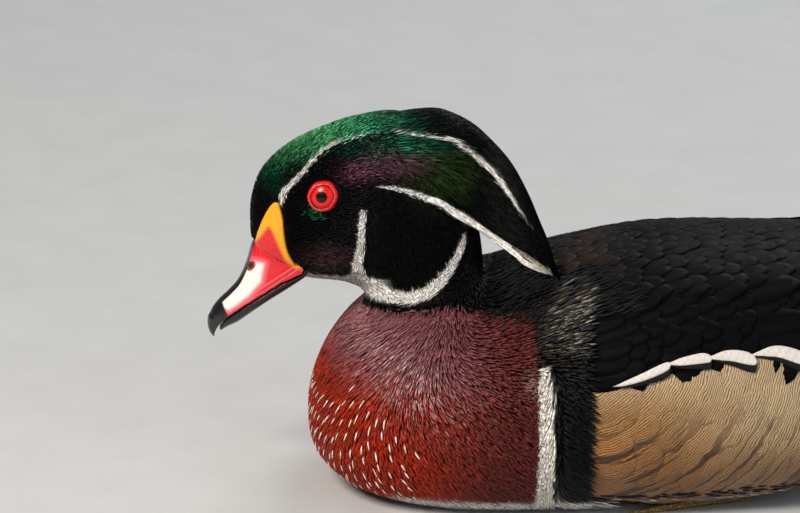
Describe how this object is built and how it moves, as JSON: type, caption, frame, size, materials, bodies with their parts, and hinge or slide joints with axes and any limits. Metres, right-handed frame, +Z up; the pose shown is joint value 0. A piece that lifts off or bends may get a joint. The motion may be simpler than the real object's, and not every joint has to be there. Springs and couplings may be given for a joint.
{
  "type": "wood duck, drake, still model",
  "caption": "Life-size still model of a drake wood duck floating, at rest on its belly, with swept-back crest, folded wings and raised tail.",
  "frame": {"origin": "centre of the flat of the belly, on the floor that the model rests on", "axes": "+X forward, towards the bill; +Y to the bird's left; +Z up"},
  "size_m": [0.4149, 0.1298, 0.1362],
  "materials": {
    "green_feathers": "glossy iridescent green and purple feathers",
    "black_feathers": "velvet black feathers with a faint bronze and blue sheen",
    "chestnut_feathers": "satin chestnut breast feathers",
    "buff_feathers": "finely barred buff flank feathers",
    "maroon_feathers": "fine hair-like maroon plumes",
    "white_feathers": "matt white feathers",
    "red_horn": "smooth red and yellow horn and skin",
    "pale_horn": "smooth dark horn",
    "red_iris": "wet glossy eye with a red iris",
    "leg_skin": "scaly dull yellow skin with dark webs"
  },
  "bodies": {
    "root": {"torso": "chestnut_feathers", "neck": "white_feathers", "head": "green_feathers", "crest": "green_feathers", "bill_upper": "red_horn", "bill_lower": "pale_horn", "eye_left": "red_iris", "eye_right": "red_iris", "eyelids_left": "red_horn", "eyelids_right": "red_horn", "wing_left": "black_feathers", "wing_right": "black_feathers", "scapulars_left": "black_feathers", "scapulars_right": "black_feathers", "flank_left": "buff_feathers", "flank_right": "buff_feathers", "side_plumes_left": "maroon_feathers", "side_plumes_right": "maroon_feathers", "tail": "black_feathers", "leg_left": "leg_skin", "leg_right": "leg_skin", "foot_left": "leg_skin", "foot_right": "leg_skin"}
  },
  "joints": []
}
